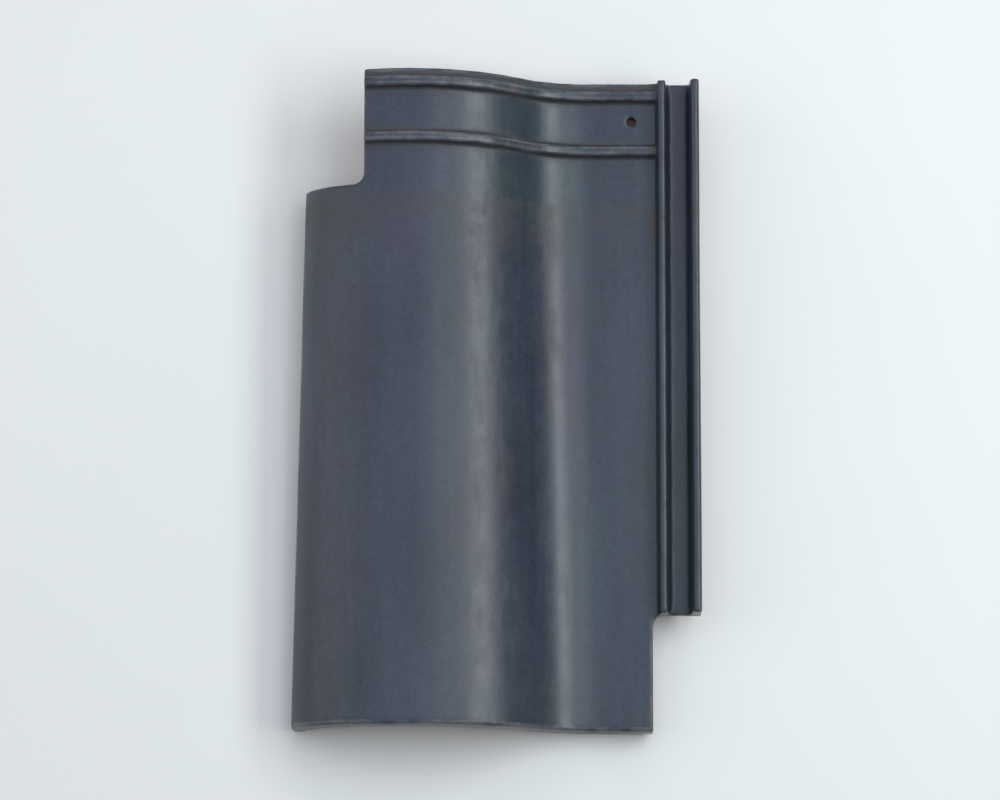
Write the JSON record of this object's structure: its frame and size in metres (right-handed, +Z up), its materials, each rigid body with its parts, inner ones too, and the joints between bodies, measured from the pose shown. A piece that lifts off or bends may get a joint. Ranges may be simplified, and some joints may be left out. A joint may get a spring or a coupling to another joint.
{
  "type": "interlocking clay pantile",
  "caption": "Single-roll interlocking clay pantile with side lock, head ribs, hanging nib and nail hole, slate-blue engobe finish.",
  "frame": {"origin": "middle of the tile's footprint on the level floor it lies on, roll upwards", "axes": "+Y from the tail to the head, up the slope; +X across the tile from the cover lip to the side lock; +Z up from the floor. Lying unheld, the tile leans 5.9 degrees to its lip side and 1.6 degrees to its tail."},
  "size_m": [0.255, 0.4114, 0.0703],
  "materials": {
    "engobed_clay": "satin slate-blue engobe on the top face and edges, bare red-brown fired clay underneath"
  },
  "bodies": {
    "root": {"pantile": "engobed_clay"}
  },
  "joints": []
}
